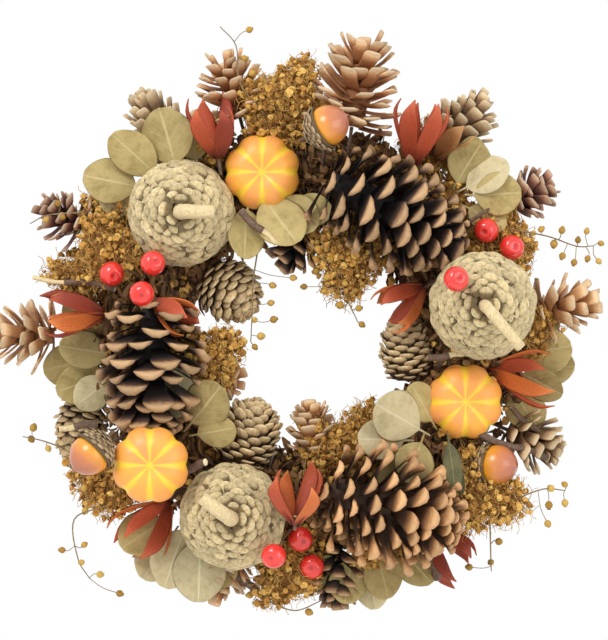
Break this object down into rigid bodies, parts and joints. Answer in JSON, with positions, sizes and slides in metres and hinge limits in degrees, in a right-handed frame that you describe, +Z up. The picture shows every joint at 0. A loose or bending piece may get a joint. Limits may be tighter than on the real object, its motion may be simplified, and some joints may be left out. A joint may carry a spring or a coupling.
{
  "type": "harvest door wreath",
  "caption": "Round autumn door wreath: bound ring with cones, mini pumpkins, acorns, red berries, flowers and dried leaves, hung by a wire loop.",
  "frame": {"origin": "the point where the top of the wire loop rests on the door hook, at the underside of the wire", "axes": "+Z up; the wreath's face looks toward -Y and the door is on the +Y side; +X is to the right as seen from the front"},
  "size_m": [0.3525, 0.1234, 0.3283],
  "materials": {
    "wire": "dull galvanised wire",
    "straw": "dark bound straw and vine, matte",
    "open_cone": "dry open cone scales, pale tips and dark inside",
    "closed_cone": "pale closed cone scales, matte",
    "painted_foam": "painted foam, peach lobes with yellow grooves",
    "berry_red": "glossy red lacquer",
    "acorn_nut": "satin lacquer, golden at the cap and pink brown at the point",
    "acorn_cap": "fine dry scales",
    "dyed_petal": "dyed woody petals, matte",
    "dried_leaf": "pressed dried leaf, matte",
    "dried_floret": "dried florets, matte"
  },
  "bodies": {
    "hanger": {"hanger_loop": "wire"},
    "wreath": {"hanger_eye": "wire", "binding_tie_1": "wire", "binding_tie_2": "wire", "binding_tie_3": "wire", "base_ring": "straw", "large_cone_1": "open_cone", "large_cone_2": "open_cone", "large_cone_3": "open_cone", "pine_cone_1": "open_cone", "pine_cone_2": "open_cone", "pine_cone_3": "open_cone", "pine_cone_4": "open_cone", "pine_cone_5": "open_cone", "pine_cone_6": "open_cone", "pine_cone_7": "open_cone", "pine_cone_8": "open_cone", "pine_cone_9": "open_cone", "pine_cone_10": "open_cone", "pine_cone_11": "open_cone", "pine_cone_12": "open_cone", "pine_cone_13": "open_cone", "round_cone_1": "closed_cone", "round_cone_2": "closed_cone", "round_cone_3": "closed_cone", "mini_pumpkin_1": "painted_foam", "mini_pumpkin_2": "painted_foam", "mini_pumpkin_3": "painted_foam", "berry_1": "berry_red", "berry_2": "berry_red", "berry_3": "berry_red", "berry_4": "berry_red", "berry_5": "berry_red", "berry_6": "berry_red", "berry_7": "berry_red", "berry_8": "berry_red", "berry_9": "berry_red", "acorn_nut_1": "acorn_nut", "acorn_nut_2": "acorn_nut", "acorn_nut_3": "acorn_nut", "acorn_cap_1": "acorn_cap", "acorn_cap_2": "acorn_cap", "acorn_cap_3": "acorn_cap", "wood_flower_1": "dyed_petal", "wood_flower_2": "dyed_petal", "wood_flower_3": "dyed_petal", "wood_flower_4": "dyed_petal", "wood_flower_5": "dyed_petal", "wood_flower_6": "dyed_petal", "wood_flower_7": "dyed_petal", "front_flower": "dyed_petal", "leaf_spray_1": "dried_leaf", "leaf_spray_2": "dried_leaf", "leaf_spray_3": "dried_leaf", "leaf_spray_4": "dried_leaf", "floret_clump_1": "dried_floret", "floret_clump_2": "dried_floret", "floret_clump_3": "dried_floret", "floret_clump_4": "dried_floret", "floret_clump_5": "dried_floret"}
  },
  "joints": [
    {"name": "loop_pivot", "type": "hinge", "parent": "hanger", "child": "wreath", "pos_m": [0, 0, -0.026], "axis": [-1, 0, 0], "range_deg": [0, 40]}
  ]
}
